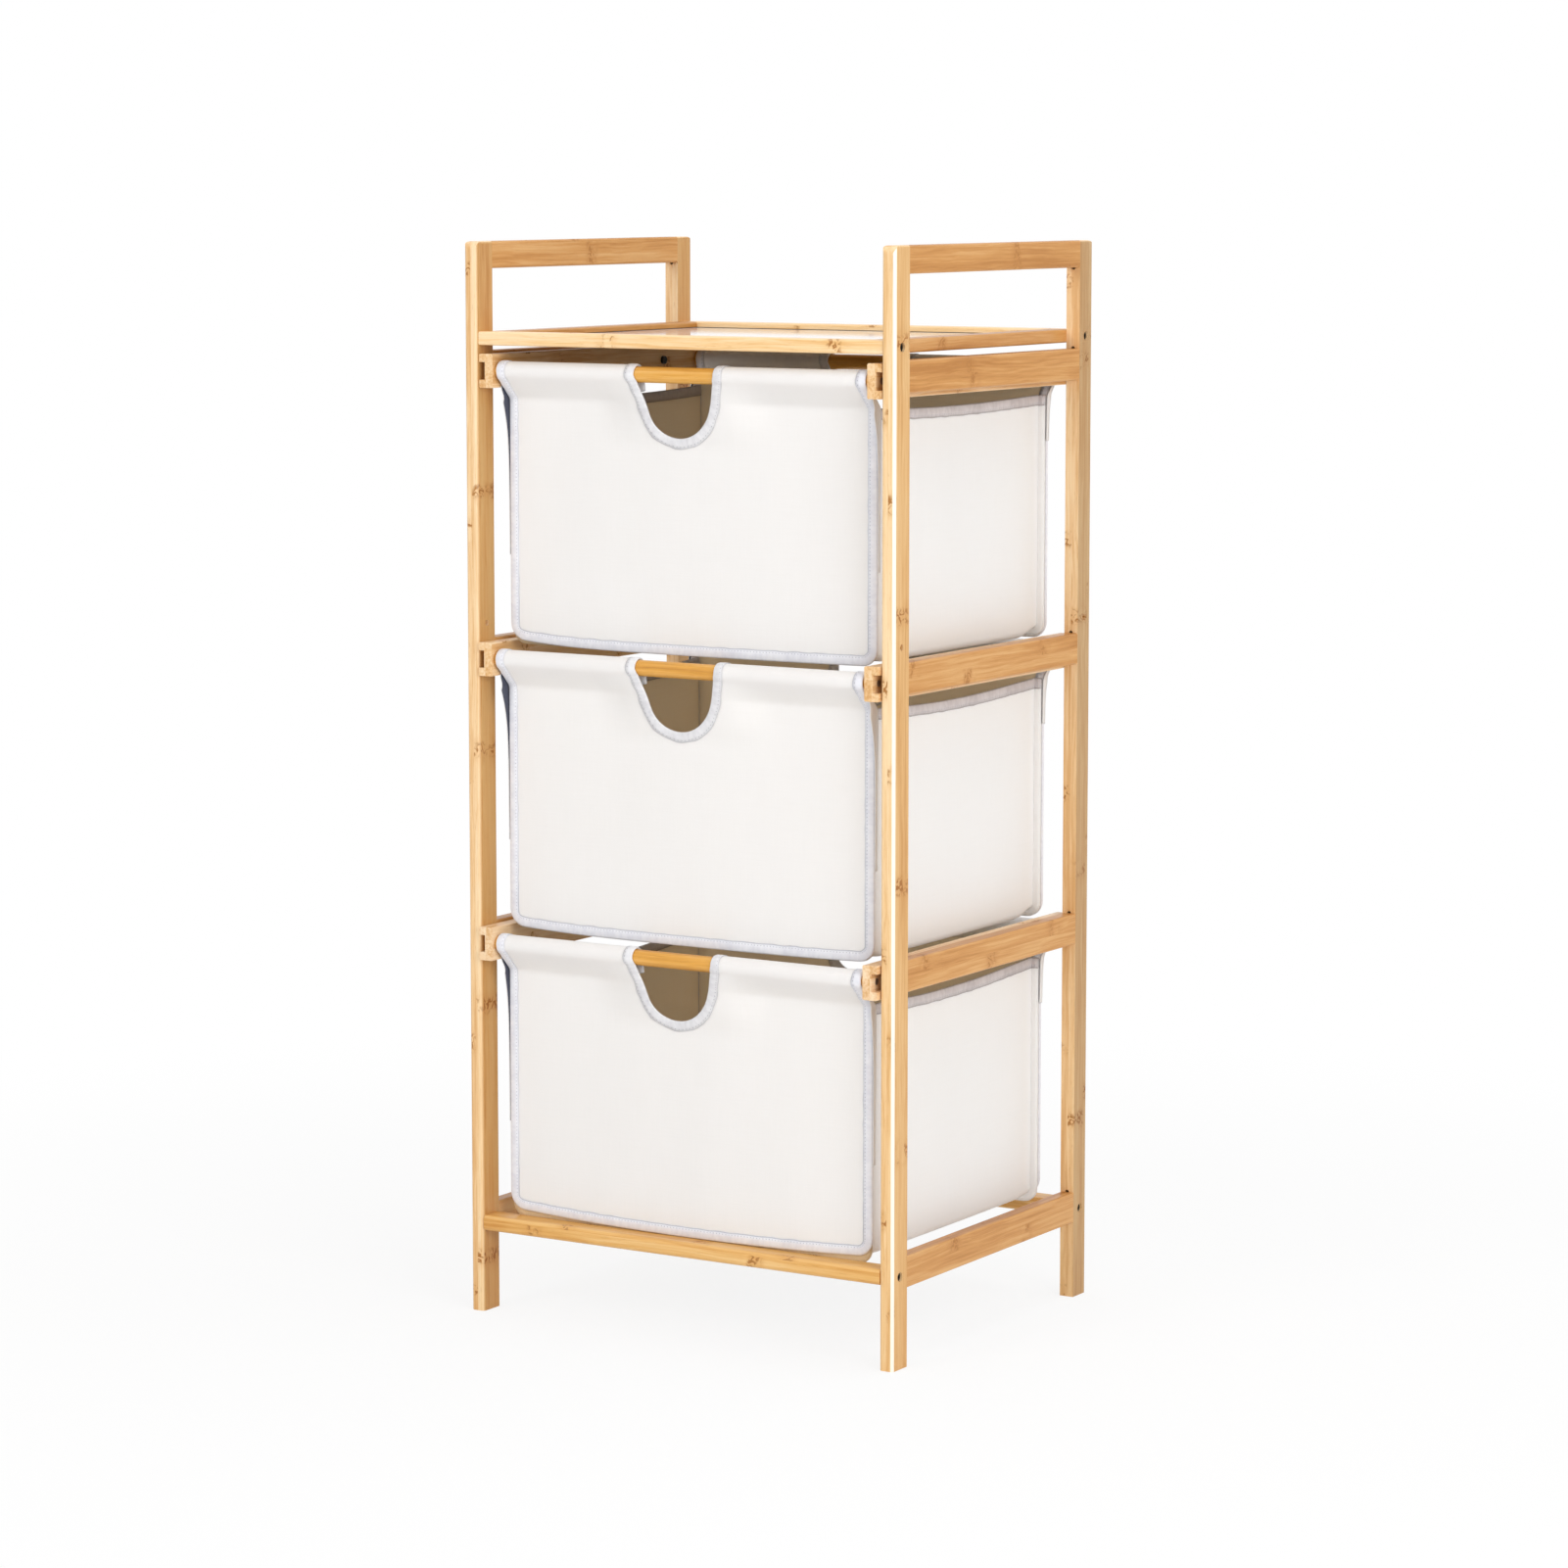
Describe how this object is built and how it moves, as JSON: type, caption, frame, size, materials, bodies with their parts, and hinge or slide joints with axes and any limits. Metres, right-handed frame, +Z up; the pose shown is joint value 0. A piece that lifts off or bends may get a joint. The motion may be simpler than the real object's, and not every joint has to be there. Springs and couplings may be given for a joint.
{
  "type": "fabric drawer organizer",
  "caption": "Free-standing bamboo rack with a shallow tray top, open side frames with handle rails, and cloth drawers that hang from rods on sliding bars.",
  "frame": {"origin": "on the floor, in the middle of the part's box as seen from above", "axes": "+X towards the right side frame as seen from the front, +Y from the front to the back, +Z up"},
  "size_m": [0.44, 0.354, 0.96],
  "materials": {
    "bamboo": "satin clear lacquer",
    "runner_wood": "satin clear lacquer",
    "rod_wood": "satin clear lacquer",
    "tray_panel": "glossy white face",
    "panel_cloth": "smooth white cloth",
    "side_cloth": "smooth white cloth",
    "bottom_board": "plain fibreboard",
    "black_steel": "black oxide",
    "zinc_steel": "zinc plated"
  },
  "bodies": {
    "frame": {"post_left_front": "bamboo", "post_left_rear": "bamboo", "post_right_front": "bamboo", "post_right_rear": "bamboo", "handle_left": "bamboo", "handle_right": "bamboo", "plank_left_top": "bamboo", "plank_left_middle": "bamboo", "plank_left_low": "bamboo", "plank_left_base": "bamboo", "plank_right_top": "bamboo", "plank_right_middle": "bamboo", "plank_right_low": "bamboo", "plank_right_base": "bamboo", "runner_left_top": "runner_wood", "runner_left_middle": "runner_wood", "runner_left_low": "runner_wood", "runner_right_top": "runner_wood", "runner_right_middle": "runner_wood", "runner_right_low": "runner_wood", "runner_screws": "zinc_steel", "frame_bolts": "black_steel", "bolt_inserts": "zinc_steel", "tray_front_rail": "bamboo", "tray_back_rail": "bamboo", "tray_left_rail": "bamboo", "tray_right_rail": "bamboo", "tray_panel": "tray_panel", "base_front_rail": "bamboo", "base_back_rail": "bamboo"},
    "drawer_top": {"top_bar_left": "bamboo", "top_bar_right": "bamboo", "top_rod_front": "rod_wood", "top_rod_rear": "rod_wood", "top_rod_screws": "zinc_steel", "top_stop_screws": "black_steel", "top_bag_front": "panel_cloth", "top_bag_back": "panel_cloth", "top_bag_sides": "side_cloth", "top_bag_board": "bottom_board"},
    "drawer_middle": {"middle_bar_left": "bamboo", "middle_bar_right": "bamboo", "middle_rod_front": "rod_wood", "middle_rod_rear": "rod_wood", "middle_rod_screws": "zinc_steel", "middle_stop_screws": "black_steel", "middle_bag_front": "panel_cloth", "middle_bag_back": "panel_cloth", "middle_bag_sides": "side_cloth", "middle_bag_board": "bottom_board"},
    "drawer_low": {"low_bar_left": "bamboo", "low_bar_right": "bamboo", "low_rod_front": "rod_wood", "low_rod_rear": "rod_wood", "low_rod_screws": "zinc_steel", "low_stop_screws": "black_steel", "low_bag_front": "panel_cloth", "low_bag_back": "panel_cloth", "low_bag_sides": "side_cloth", "low_bag_board": "bottom_board"}
  },
  "joints": [
    {"name": "drawer_top_slide", "type": "slide", "parent": "frame", "child": "drawer_top", "axis": [0, -1, 0], "range_m": [0, 0.2]},
    {"name": "drawer_middle_slide", "type": "slide", "parent": "frame", "child": "drawer_middle", "axis": [0, -1, 0], "range_m": [0, 0.2]},
    {"name": "drawer_low_slide", "type": "slide", "parent": "frame", "child": "drawer_low", "axis": [0, -1, 0], "range_m": [0, 0.2]}
  ]
}
